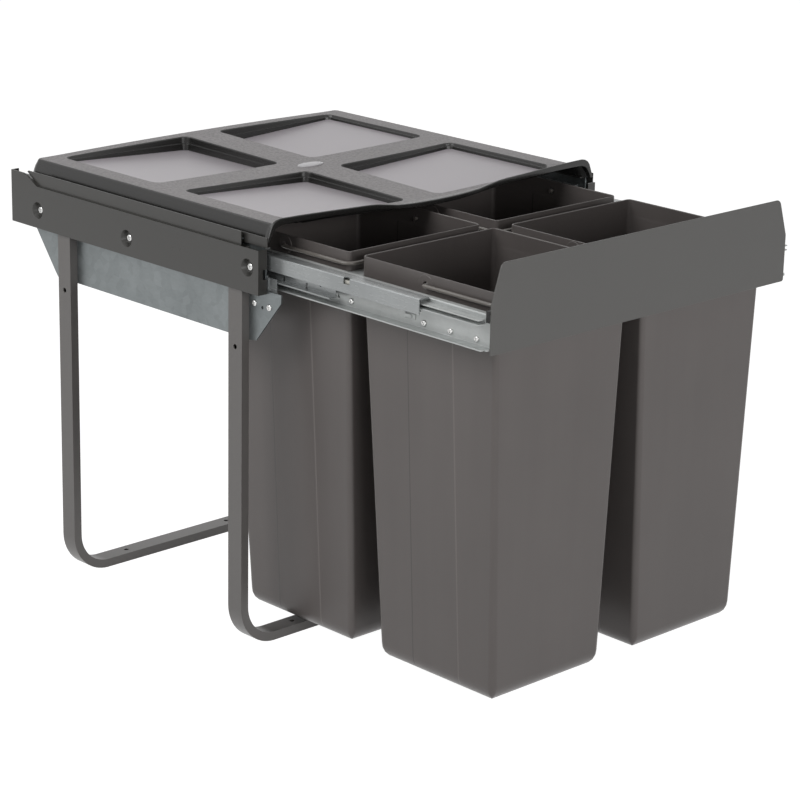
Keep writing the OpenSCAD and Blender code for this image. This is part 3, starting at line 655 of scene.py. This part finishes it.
clip_plastic = smooth_plastic("clip_plastic", swatch(54, 53, 51), swatch(61, 60, 58), roughness=0.34)
for side, hand in (("left", -1), ("right", 1)):
    ledge = bmesh.new()
    for edge, ends in LEDGE_OUT:
        xs = sorted((hand * LEDGE_IN, hand * edge))
        bar(ledge, (xs[0], ends[0], LEDGE_LOW), (xs[1], ends[1], LEDGE_HIGH), rounding=0.4)
    make_piece(f"{side}_lid_ledge", ledge, clip_plastic, "frame")
    clip = bmesh.new()
    xs = sorted((hand * CLIP_IN, hand * CLIP_OUT))
    bar(clip, (xs[0], CLIP_FRONT, CLIP_LOW), (xs[1], CLIP_BACK, CLIP_HIGH), rounding=0.6)
    make_piece(f"{side}_clip", clip, clip_plastic, "frame", [f"{side}_lid_clip"])


# ---- Lid inlays and badge ----------------------------------------------------------------------
# Four thin light-grey plates with a satin finish lie in the pockets on a slope, and a blank domed
# oval button covers the middle of the cross bar.

inlay = Finish("lid_inlay", Specular_IOR_Level=0.5)
cloud = inlay.place.noise(5.0, 3.0)
brushed = inlay.place.stretched(1.0, 0.5, 1.0).noise(260.0, 3.0)
lid_inlay = inlay.vary(Base_Color=(cloud * 0.6 + brushed * 0.4).between(swatch(168, 162, 167),
                                                                        swatch(184, 178, 183)),
                       Roughness=brushed * 0.1 + 0.27, Normal=brushed.bump(0.00001))
INLAY_GAP, INLAY_CORNER, INLAY_THICK, INLAY_EDGE = 3.25, 6.8, 0.8, 0.25
for name, xs, pocket in pocket_places():
    plate = bmesh.new()
    bmesh.ops.create_grid(plate, x_segments=1, y_segments=1, size=1.0)
    for v in plate.verts:
        v.co = Vector((xs[0] + INLAY_GAP if v.co.x < 0 else xs[1] - INLAY_GAP,
                       pocket[0] + INLAY_GAP if v.co.y < 0 else pocket[1] - INLAY_GAP, 0.0))
    bmesh.ops.bevel(plate, geom=plate.verts[:], offset=INLAY_CORNER, offset_type="OFFSET", segments=6,
                    profile=0.5, affect="VERTICES", material=-1)
    pushed = bmesh.ops.extrude_face_region(plate, geom=plate.faces[:], use_keep_orig=True)["geom"]
    for v in pushed:
        if isinstance(v, bmesh.types.BMVert):
            v.co.z = -INLAY_THICK
    bmesh.ops.recalc_face_normals(plate, faces=plate.faces)
    rims = [e for e in plate.edges if e.calc_face_angle(0.0) > math.radians(69)]
    bmesh.ops.bevel(plate, geom=rims, offset=INLAY_EDGE, segments=2, profile=0.5, affect="EDGES",
                    material=-1)
    for v in plate.verts:
        v.co.z += seat_height(pocket, v.co.x)
        v.co *= MM
    make_piece(f"inlay_{name}", plate, lid_inlay, "frame", [f"lid_panel_{name}"])

BADGE_X, BADGE_Y, BADGE_PLACE, BADGE_SUNK = 20.0, 10.0, 21.0, 0.1757
BADGE_DOME = ((1.0, 0.5), (0.97, 0.95), (0.9, 1.25), (0.75, 1.5), (0.5, 1.65), (0.2, 1.7))
badge = bmesh.new()
bmesh.ops.create_circle(badge, cap_ends=False, radius=1.0, segments=48)
badge_z = lid_height(0, BADGE_PLACE) - BADGE_SUNK
for v in badge.verts:
    v.co = Vector((v.co.x * BADGE_X, v.co.y * BADGE_Y, 0.0))
ring = list(badge.edges)
low = list(ring)
size = 1.0
for share, height in BADGE_DOME:
    ring = stretch(badge, ring, lambda at, k=share / size, z=height: Vector((at.x * k, at.y * k, z)))
    size = share
bmesh.ops.edgeloop_fill(badge, edges=ring)
bmesh.ops.edgeloop_fill(badge, edges=low)
bmesh.ops.recalc_face_normals(badge, faces=badge.faces)
bmesh.ops.transform(badge, matrix=Matrix.Scale(MM, 4) @ Matrix.Translation((0, BADGE_PLACE, badge_z)),
                    verts=badge.verts)
badge_plastic = smooth_plastic("badge_plastic", swatch(182, 180, 183), swatch(196, 194, 197),
                               roughness=0.22)
make_piece("badge", badge, badge_plastic, "frame", ["lid_badge"])


# ---- Bins --------------------------------------------------------------------------------------
# Four tapered bins, each moulded in one piece of warm grey plastic: a stepped collar that hangs on
# the cross members, a raised band down each side, and an eye for the wire on both sides.

COLLAR, RIM = 105.0, 503.0                             # half width of the collar, height of the rim
BODY_HALF, FOOT_HALF = COLLAR - 0.4, 88.0              # half width of the body at its top and foot
BODY_TOP, BODY_FOOT, FOOT_Z, FOOT_R = 480.0, 31.0, 23.0, 20.0
BODY_STEP, FRONT_LEAN, BACK_LEAN = 0.5, 3.1, 22.2      # in Y: set back from the collar, and taper
BODY_CORNER, CORNER_GAIN = 6.0, 2.0                    # corner radius at the top, and what it gains
INNER = 2.2                                            # how far in the inside lies
COLLAR_RINGS = ((0.4, 6.0, 480.1), (0.0, 6.0, 480.8), (0.0, 6.0, 501.9), (0.3, 5.7, 502.7),
                (0.9, 5.2, RIM), (1.4, 4.8, 502.85), (1.9, 4.4, 502.2), (2.0, 4.0, 482.5))


def bin_ring(half, front, back, corner, z):
    return {"half": half, "front": front, "back": back, "corner": corner, "z": z}


def share_down(z):
    """0 at the top of the tapered body and 1 at its foot."""
    return (BODY_TOP - z) / (BODY_TOP - BODY_FOOT)


def body_at(z, wall=0.0):
    """The body's outline at a height: straight sides that draw in towards the foot."""
    share = share_down(z)
    return bin_ring(BODY_HALF - (BODY_HALF - FOOT_HALF) * share - wall,
                    BODY_STEP + FRONT_LEAN * share + wall,
                    2 * COLLAR - BODY_STEP - BACK_LEAN * share - wall,
                    BODY_CORNER + CORNER_GAIN * share - wall / 2, z)


def shrunk(outline, by, z):
    return bin_ring(outline["half"] - by, outline["front"] + by, outline["back"] - by,
                    max(outline["corner"] - by, 0.6), z)


def bin_shape():
    """One bin with its front face on Y = 0, in millimetres."""
    bm = bmesh.new()
    # This layer carries the painted highlight and painted shade along the bands' edges
    bm.verts.layers.float.new("edge")
    turns = [math.radians(angle) for angle in (90, 72, 54, 36, 18, 0)]
    rings = [shrunk(body_at(FOOT_Z + FOOT_R), FOOT_R * (1 - math.cos(turn)),
                    FOOT_Z + FOOT_R * (1 - math.sin(turn))) for turn in turns]
    rings += [body_at(476.5), body_at(477.2, 0.1), body_at(478.0, 0.9), body_at(479.3, 0.9)]
    rings += [bin_ring(COLLAR - inset, inset, 2 * COLLAR - inset, corner, z)
              for inset, corner, z in COLLAR_RINGS]
    inner_foot = body_at(FOOT_Z + FOOT_R, INNER)
    rings += [body_at(BODY_TOP, INNER), inner_foot, shrunk(inner_foot, 3, 34),
              shrunk(inner_foot, 10, 28)]
    bmesh.ops.create_grid(bm, x_segments=1, y_segments=1, size=1.0)
    last = rings[0]
    for v in bm.verts:
        v.co = Vector((sign(v.co.x) * last["half"], last["front"] if v.co.y < 0 else last["back"],
                       last["z"]))
    bmesh.ops.bevel(bm, geom=bm.verts[:], offset=last["corner"], offset_type="OFFSET", segments=5,
                    profile=0.5, affect="VERTICES", material=-1)
    ring = bm.edges[:]
    for outline in rings[1:]:
        def place(at, a=last, b=outline):
            hand = sign(at.x)
            rear = at.y > (a["front"] + a["back"]) / 2
            old_y = a["back"] - a["corner"] if rear else a["front"] + a["corner"]
            new_y = b["back"] - b["corner"] if rear else b["front"] + b["corner"]
            turn = b["corner"] / a["corner"]
            old_x, new_x = (hand * (ring["half"] - ring["corner"]) for ring in (a, b))
            return Vector((new_x + turn * (at.x - old_x), new_y + turn * (at.y - old_y), b["z"]))
        ring = stretch(bm, ring, place)
        last = outline
    bmesh.ops.edgeloop_fill(bm, edges=ring)
    bmesh.ops.recalc_face_normals(bm, faces=bm.faces)
    raise_bands(bm)
    add_eyes(bm)
    return bm


BAND_FRONT, BAND_REAR = (67.3, 57.1), (137.7, 130.7)   # Y of a band's edges at its top and foot
BAND_RAMP, BAND_MARK = (-1.2, -0.6, 0.6, 1.2), 0.8     # cuts beside each edge, and half its width
BAND_LOW, BAND_HIGH, BAND_RISE = 44.0, 480.5, 0.8
FLUSH_FROM, FLUSH_RISE = 400, 0.4                      # above this height the band rises less


def raise_bands(bm):
    """Lifts a band down the middle of each side, flush with the collar at its upper end, and marks
    its edges for painted light: 1 on the front one, painted pale as a highlight, and -1 on the rear one,
    painted dark as shade."""
    for top_y, foot_y in (BAND_FRONT, BAND_REAR):
        for shift in BAND_RAMP:
            bmesh.ops.bisect_plane(bm, geom=bm.faces[:] + bm.edges[:] + bm.verts[:],
                                   plane_co=(0, top_y + shift, BODY_TOP),
                                   plane_no=(0, BODY_TOP - BODY_FOOT, foot_y - top_y))
    band_light_layer = bm.verts.layers.float["edge"]
    for v in bm.verts:
        if v.co.z >= BAND_HIGH:
            continue
        front, rear = (top_y + (foot_y - top_y) * share_down(v.co.z)
                       for top_y, foot_y in (BAND_FRONT, BAND_REAR))
        outer = abs(v.co.x) > body_at(min(v.co.z, BODY_TOP), 1.0)["half"]
        if front < v.co.y < rear and v.co.z > BAND_LOW and outer:
            rise = BAND_RISE if v.co.z <= FLUSH_FROM else FLUSH_RISE
            v.co.x = sign(v.co.x) * (body_at(v.co.z)["half"] + rise)
        # Painted light: +1 paints a highlight along the front edge, -1 paints shade along the rear edge
        v[band_light_layer] = (abs(v.co.y - front) < BAND_MARK) - (abs(v.co.y - rear) < BAND_MARK)


EYE_Y, EYE_Z, EYE_R, DISC_R = 107.5, 490.0, 4.2, 11.9
DISC_RINGS = ((11.8, 105.4), (11.4, 105.7), (4.6, 105.7), (4.2, 105.4), (4.1, 104.9))  # radius, X
DISC_BASE, DISC_FLAT = 104.9, 0.24


def eye_point(at, radius, x):
    """A point at a distance from the eye's middle; wide rings are flattened below."""
    turn = math.atan2(at.z - EYE_Z, at.y - EYE_Y)
    low = 1 - DISC_FLAT * max(0.0, radius - EYE_R) / (DISC_R - EYE_R) if at.z < EYE_Z else 1.0
    return Vector((x, EYE_Y + radius * math.cos(turn), EYE_Z + radius * math.sin(turn) * low))


def cut_hole(bm, hand):
    """A round hole for the wire through one side of the collar."""
    def side_faces():
        return [f for f in bm.faces
                if f.normal.x ** 2 > 0.9 and f.calc_center_median().x * hand > COLLAR - 2.5
                and BODY_TOP + 1 < f.calc_center_median().z < RIM - 1
                and min(v.co.z for v in f.verts) > BODY_TOP + 0.3]

    for spot, way in ((EYE_Y, Vector((0, 1, 0))), (EYE_Z, Vector((0, 0, 1)))):
        for reach in (-EYE_R, EYE_R):
            faces = side_faces()
            edges = {e for f in faces for e in f.edges}
            corners = {v for f in faces for v in f.verts}
            bmesh.ops.bisect_plane(bm, geom=faces + list(edges) + list(corners),
                                   plane_co=way * (spot + reach), plane_no=way)
    middles = [f for f in side_faces() if abs(f.calc_center_median().y - EYE_Y) < 1
               and abs(f.calc_center_median().z - EYE_Z) < 1]
    rims = list({e for f in middles for e in f.edges})
    bmesh.ops.delete(bm, geom=middles, context="FACES_ONLY")
    split = bmesh.ops.subdivide_edges(bm, edges=rims, cuts=3)["geom_inner"]
    corners = {v for e in rims if e.is_valid for v in e.verts}
    corners |= {v for v in split if isinstance(v, bmesh.types.BMVert)}
    for v in corners:
        v.co = eye_point(v.co, EYE_R, v.co.x)
    bmesh.ops.bridge_loops(bm, edges=list({e for v in corners for e in v.link_edges if e.is_boundary}))


def add_eyes(bm):
    """A round hole for the wire, with a thin raised disc round it, on both sides of the collar."""
    for hand in (-1, 1):
        cut_hole(bm, hand)
        made = bmesh.ops.create_circle(bm, cap_ends=False, radius=1.0, segments=32,
                                       matrix=Matrix.Translation((hand * DISC_BASE, EYE_Y, EYE_Z))
                                       @ Matrix.Rotation(math.radians(90), 4, "Y"))["verts"]
        ring = base = list({e for v in made for e in v.link_edges})
        for v in made:
            v.co = eye_point(v.co, DISC_R, v.co.x)
        for radius, x in DISC_RINGS:
            ring = stretch(bm, ring, lambda at, r=radius, x=x: eye_point(at, r, hand * x))
        bmesh.ops.bridge_loops(bm, edges=ring + base)
        disc = {f for v in made for f in v.link_faces}
        for step in range(6):
            disc |= {f for g in list(disc) for e in g.edges for f in e.link_faces}
        bmesh.ops.recalc_face_normals(bm, faces=list(disc))
        outer = max(disc, key=lambda f: abs(f.calc_center_median().x))
        if outer.normal.x * hand < 0:
            bmesh.ops.reverse_faces(bm, faces=list(disc))


moulded = Finish("bin_plastic", Specular_IOR_Level=0.38)
cloud = moulded.place.noise(8.0, 3.0)
skin = moulded.place.noise(900.0, 2.0)
flow = moulded.place.stretched(1.0, 1.0, 0.08).noise(30.0, 3.0)
# The edge layer paints a highlight on each band's front edge and shade on its rear edge
painted_band_light = moulded.place.node("Attribute", {}, out=2, attribute_name="edge")
tone = cloud * 0.2 + flow * 0.2 + skin * 0.1 + 0.25 + painted_band_light * 0.5
bin_plastic = moulded.vary(Base_Color=tone.between(swatch(74, 70, 68), swatch(116, 110, 108)),
                           Roughness=skin * 0.1 + cloud * 0.05 + 0.26, Normal=skin.bump(0.00003))
BIN_FRONTS = (("front", -523.5), ("rear", -292.5))
BIN_MIDDLES = (("left", -118.0), ("right", 118.0))
for row, front_y in BIN_FRONTS:
    for side, centre in BIN_MIDDLES:
        bm = bin_shape()
        bmesh.ops.transform(bm, matrix=Matrix.Scale(MM, 4) @ Matrix.Translation((centre, front_y, 0)),
                            verts=bm.verts)
        body = f"{row}_{side}_bin" if row == "front" else "carriage"
        make_piece(f"{row}_{side}_tub", bm, bin_plastic, body, [f"{row}_{side}_bin"])

handle_wire = powder_coat("handle_wire", swatch(114, 109, 104), swatch(128, 123, 118), roughness=0.24)
for row in ("front", "rear"):
    for side in ("left", "right"):
        set_material(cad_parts[f"{row}_{side}_handle"], handle_wire)


# ---- Camera, floor and light -------------------------------------------------------------------
# The camera stands about 3.4 m off and 0.7 m above the lid, and looks down on the left front
# corner. A white floor and sky with soft lamps stand for a studio.

CAMERA_PLACE = (-2.2049, -2.4289, 1.2391)
FLOOR_HALF = 12.0
lens = bpy.data.cameras.new("camera")
lens.lens = 120.91
lens.sensor_width = 36.0
lens.clip_end = 50.0
camera = bpy.data.objects.new("camera", lens)
bpy.context.scene.collection.objects.link(camera)
yaw, pitch, roll = math.radians(44.04), math.radians(17.31), math.radians(1.20)
forward = Vector((math.sin(yaw) * math.cos(pitch), math.cos(yaw) * math.cos(pitch), -math.sin(pitch)))
right = Vector((math.cos(yaw), -math.sin(yaw), 0.0))
up = right.cross(forward)
turned = Matrix((math.cos(roll) * right + math.sin(roll) * up,
                 math.cos(roll) * up - math.sin(roll) * right, -forward)).transposed()
camera.matrix_world = Matrix.Translation(CAMERA_PLACE) @ turned.to_4x4()
bpy.context.scene.camera = camera


def area_lamp(name, place, aim, size, power):
    lamp = bpy.data.lights.new(name, "AREA")
    lamp.shape = "RECTANGLE"
    lamp.size, lamp.size_y = size
    lamp.energy = power
    lamp_object = bpy.data.objects.new(name, lamp)
    lamp_object.location = place
    lamp_object.rotation_euler = (Vector(aim) - Vector(place)).to_track_quat("-Z", "Y").to_euler()
    bpy.context.scene.collection.objects.link(lamp_object)


area_lamp("top_light", (0.9, 0.9, 2.3), aim=(0.0, -0.1, 0.4), size=(1.2, 1.2), power=8)
area_lamp("left_light", (-1.85, 0.1, 1.8), aim=(0.0, -0.1, 0.3), size=(1.4, 1.4), power=25)
area_lamp("front_light", (-0.4, -2.6, 0.95), aim=(0.0, -0.1, 0.2), size=(2.0, 0.9), power=21)
area_lamp("edge_light", (-0.95, 1.24, 2.0), aim=(-0.26, -0.35, 0.48), size=(0.6, 0.3), power=2.5)


def white_to_the_eye(tree, seen, lit):
    """One shader for the camera, glossy and see-through rays, and another for the light that falls."""
    path = tree.nodes.new("ShaderNodeLightPath")
    rays = Wire(tree, path.outputs["Is Camera Ray"])
    for kind in ("Is Glossy Ray", "Is Transmission Ray"):
        rays = rays.math("MAXIMUM", rays, Wire(tree, path.outputs[kind]))
    return rays.node("MixShader", {0: rays, 1: lit, 2: seen})


sweep = bmesh.new()
bmesh.ops.create_grid(sweep, x_segments=1, y_segments=1, size=FLOOR_HALF)
floor_data = bpy.data.meshes.new("floor")
sweep.to_mesh(floor_data)
sweep.free()
floor = bpy.data.objects.new("floor", floor_data)
bpy.context.scene.collection.objects.link(floor)
paper = Finish("white_floor", Roughness=0.9, Base_Color=(0.92, 0.92, 0.92, 1.0))
tree = paper.material.node_tree
grey = paper.place.node("BsdfDiffuse", {"Color": (0.26, 0.26, 0.26, 1.0)})
glow = paper.place.node("Emission", {"Color": (1.0, 1.0, 1.0, 1.0), "Strength": 1.0})
seen = glow.node("AddShader", {0: grey, 1: glow})
mixed = white_to_the_eye(tree, seen, Wire(tree, paper.shader.outputs[0]))
tree.links.new(mixed.socket, tree.nodes["Material Output"].inputs["Surface"])
floor_data.materials.append(paper.material)

world = bpy.data.worlds.new("studio")
bpy.context.scene.world = world
world.use_nodes = True
sky = world.node_tree
sky_light = sky.nodes["Background"]
sky_light.inputs["Color"].default_value = (1.0, 1.0, 1.0, 1.0)
sky_light.inputs["Strength"].default_value = 0.08
base = Wire(sky, sky_light.outputs[0])
white = base.node("Background", {"Color": (1.0, 1.0, 1.0, 1.0), "Strength": 1.0})
sky.links.new(white_to_the_eye(sky, white, base).socket, sky.nodes["World Output"].inputs["Surface"])

bpy.context.scene.view_settings.view_transform = "Standard"
